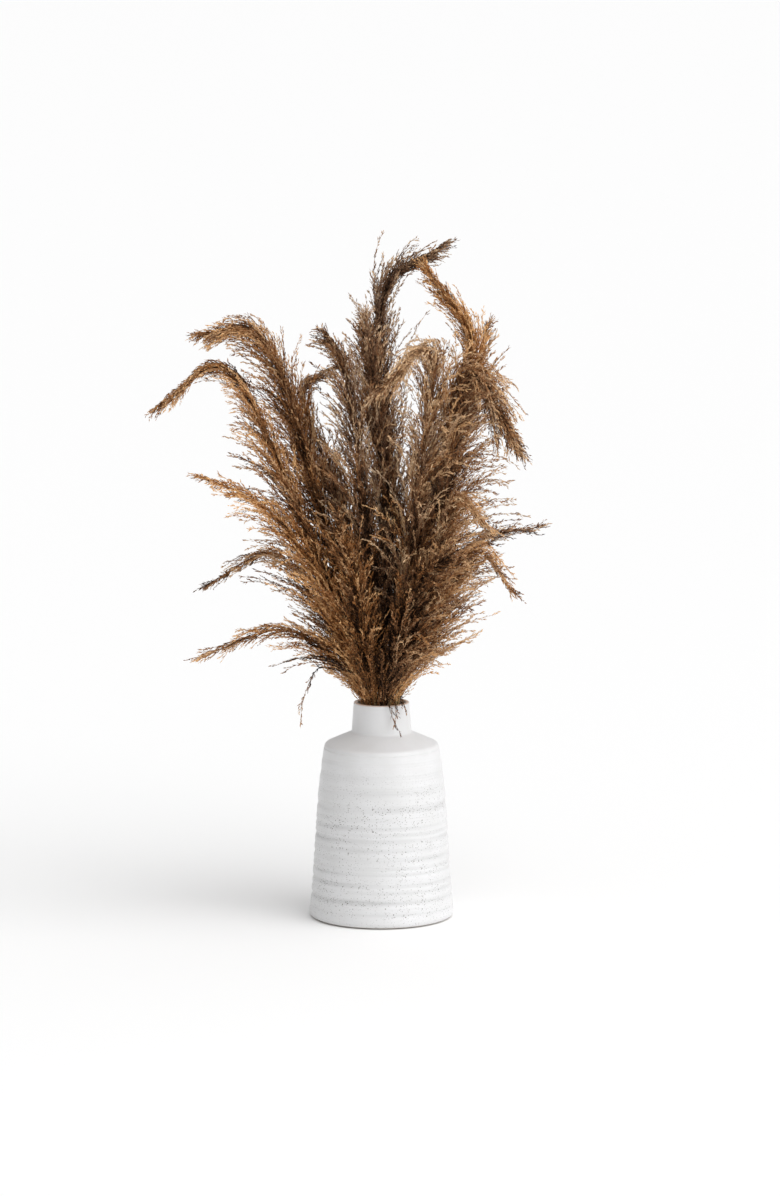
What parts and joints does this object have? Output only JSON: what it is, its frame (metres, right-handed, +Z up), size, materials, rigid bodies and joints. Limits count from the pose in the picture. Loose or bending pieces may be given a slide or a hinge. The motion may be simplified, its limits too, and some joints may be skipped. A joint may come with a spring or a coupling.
{
  "type": "stoneware vase with dried reed plumes",
  "caption": "Wheel-thrown white stoneware vase with a short neck and throwing rings, holding a tied bunch of dried brown reed plumes.",
  "frame": {"origin": "centre of the felt pad's underside, on the vase's throwing axis, at table level", "axes": "+Z up along the throwing axis, +X to the viewer's right, -Y towards the front"},
  "size_m": [0.502, 0.35, 0.901],
  "materials": {
    "glazed_stoneware": "matte",
    "felt": "pressed wool felt",
    "dried_stem": "dry straw, satin",
    "dried_plume": "dry, airy, matte",
    "jute": "twisted natural fibre"
  },
  "bodies": {
    "vase": {"vase_body": "glazed_stoneware", "felt_base_pad": "felt"},
    "bunch": {"twine_tie": "jute", "plume_back_left": "dried_plume", "plume_back_right": "dried_plume", "plume_back_tall": "dried_plume", "plume_centre_left": "dried_plume", "plume_centre_right": "dried_plume", "plume_front_left": "dried_plume", "plume_front_right": "dried_plume", "plume_left_arch": "dried_plume", "plume_left_back_low": "dried_plume", "plume_left_far": "dried_plume", "plume_left_low": "dried_plume", "plume_left_orange": "dried_plume", "plume_left_tall": "dried_plume", "plume_right_arch": "dried_plume", "plume_right_back_low": "dried_plume", "plume_right_back_tall": "dried_plume", "plume_right_khaki": "dried_plume", "plume_right_low": "dried_plume", "plume_right_middle": "dried_plume", "plume_right_tall": "dried_plume", "stem_back_left": "dried_stem", "stem_back_right": "dried_stem", "stem_back_tall": "dried_stem", "stem_centre_left": "dried_stem", "stem_centre_right": "dried_stem", "stem_front_left": "dried_stem", "stem_front_right": "dried_stem", "stem_left_arch": "dried_stem", "stem_left_back_low": "dried_stem", "stem_left_far": "dried_stem", "stem_left_low": "dried_stem", "stem_left_orange": "dried_stem", "stem_left_tall": "dried_stem", "stem_right_arch": "dried_stem", "stem_right_back_low": "dried_stem", "stem_right_back_tall": "dried_stem", "stem_right_khaki": "dried_stem", "stem_right_low": "dried_stem", "stem_right_middle": "dried_stem", "stem_right_tall": "dried_stem"}
  },
  "joints": [
    {"name": "bunch_lift", "type": "slide", "parent": "vase", "child": "bunch", "axis": [0, 0, 1], "range_m": [0, 0.3]}
  ]
}
